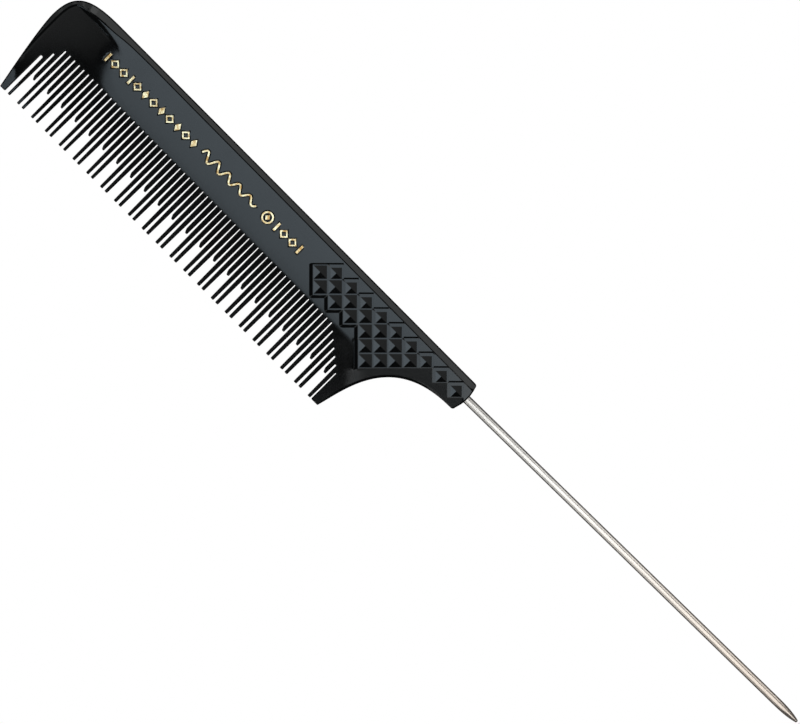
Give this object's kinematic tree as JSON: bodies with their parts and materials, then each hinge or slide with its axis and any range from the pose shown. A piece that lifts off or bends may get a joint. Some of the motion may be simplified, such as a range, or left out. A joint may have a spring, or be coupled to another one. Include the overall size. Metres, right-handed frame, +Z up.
{
  "type": "rat tail comb",
  "caption": "Rat tail comb for parting and teasing hair: a sawn hard rubber comb with alternating long and short teeth, a pyramid grip and a steel pin tail.",
  "frame": {"origin": "centre of the base of the bounding box, with the comb lying flat on one face", "axes": "+X along the comb from the head to the pin's tip, +Y from the teeth's tips to the back edge, +Z up out of the foil-marked face"},
  "size_m": [0.2356, 0.0292, 0.0044],
  "materials": {
    "hard_rubber": "black hard rubber, polished, with a soft sheen",
    "steel_wire": "drawn steel wire, fine lengthways grain",
    "gold_foil": "hot pressed gold foil, slightly worn"
  },
  "bodies": {
    "root": {"comb_body": "hard_rubber", "tail_pin": "steel_wire", "foil_head_1": "gold_foil", "foil_head_2": "gold_foil", "foil_head_3": "gold_foil", "foil_head_4": "gold_foil", "foil_band_1": "gold_foil", "foil_band_2": "gold_foil", "foil_band_3": "gold_foil", "foil_band_4": "gold_foil", "foil_band_5": "gold_foil", "foil_band_6": "gold_foil", "foil_band_7": "gold_foil", "foil_band_8": "gold_foil", "foil_wave": "gold_foil", "foil_ring": "gold_foil", "foil_ring_centre": "gold_foil", "foil_handle_1": "gold_foil", "foil_handle_2": "gold_foil", "foil_handle_3": "gold_foil", "foil_handle_4": "gold_foil"}
  },
  "joints": []
}
